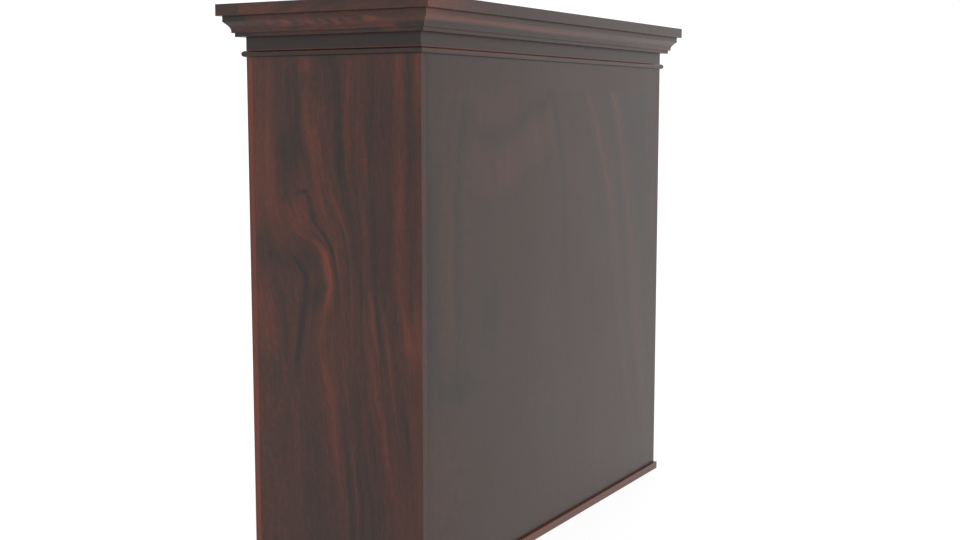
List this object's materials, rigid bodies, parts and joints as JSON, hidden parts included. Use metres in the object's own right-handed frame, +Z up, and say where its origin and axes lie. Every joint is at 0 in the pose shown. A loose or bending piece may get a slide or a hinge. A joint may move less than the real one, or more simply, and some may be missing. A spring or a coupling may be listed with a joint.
{
  "type": "pulpit",
  "caption": "Wide flat-topped wooden pulpit with plain veneered front and sides, a moulded cornice, and an open book bay over a hinged-door cupboard on the speaker's side.",
  "frame": {"origin": "on the floor, at the middle of the footprint", "axes": "+X along the width, +Y towards the speaker, +Z up; the plain front panel faces -Y"},
  "size_m": [1.289, 0.524, 1.2195],
  "materials": {
    "veneer": "satin lacquer over figured mahogany veneer",
    "frieze": "satin lacquer, dark mahogany",
    "moulding": "satin lacquer, reddish mahogany",
    "slab": "satin lacquer over mahogany",
    "face_frame": "satin lacquer over solid mahogany",
    "door_frame": "satin lacquer over solid mahogany",
    "interior": "satin lacquer, plain straight-grained mahogany",
    "plain_wood": "bare planed hardwood",
    "brass": "satin brass",
    "steel": "zinc plated",
    "black_plastic": "moulded black plastic"
  },
  "bodies": {
    "carcass": {"base_board": "moulding", "left_side": "veneer", "right_side": "veneer", "front_panel": "veneer", "centre_divider": "interior", "fixed_shelf": "interior", "left_adjustable_shelf": "interior", "right_adjustable_shelf": "interior", "shelf_pins": "brass", "rear_left_stile": "face_frame", "rear_right_stile": "face_frame", "rear_top_rail": "face_frame", "rear_mid_rail": "face_frame", "rear_bottom_rail": "face_frame", "frieze_front": "frieze", "frieze_rear": "frieze", "frieze_left": "frieze", "frieze_right": "frieze", "bead_front": "moulding", "bead_rear": "moulding", "bead_left": "moulding", "bead_right": "moulding", "cornice_front": "moulding", "cornice_rear": "moulding", "cornice_left": "moulding", "cornice_right": "moulding", "top_slab": "slab", "top_battens": "plain_wood", "slab_screws": "steel", "glue_blocks": "plain_wood", "glides": "black_plastic", "dowels": "plain_wood", "base_screws": "steel", "left_hinge_frame_leaves": "brass", "right_hinge_frame_leaves": "brass", "left_hinge_pins": "brass", "right_hinge_pins": "brass", "hinge_frame_screws": "brass", "magnetic_catches": "black_plastic", "catch_screws": "steel"},
    "left_door": {"left_door_hinge_stile": "door_frame", "left_door_lock_stile": "door_frame", "left_door_top_rail": "door_frame", "left_door_bottom_rail": "door_frame", "left_door_panel": "veneer", "left_hinge_door_leaves": "brass", "left_hinge_door_screws": "brass", "left_knob": "brass", "left_knob_screw": "steel", "left_strike_plate": "steel"},
    "right_door": {"right_door_hinge_stile": "door_frame", "right_door_lock_stile": "door_frame", "right_door_top_rail": "door_frame", "right_door_bottom_rail": "door_frame", "right_door_panel": "veneer", "right_hinge_door_leaves": "brass", "right_hinge_door_screws": "brass", "right_knob": "brass", "right_knob_screw": "steel", "right_strike_plate": "steel"}
  },
  "joints": [
    {"name": "left_door_hinge", "type": "hinge", "parent": "carcass", "child": "left_door", "pos_m": [-0.5438, 0.22175, 0.457], "axis": [0, 0, 1], "range_deg": [0, 170]},
    {"name": "right_door_hinge", "type": "hinge", "parent": "carcass", "child": "right_door", "pos_m": [0.5438, 0.22175, 0.457], "axis": [0, 0, -1], "range_deg": [0, 170]}
  ]
}
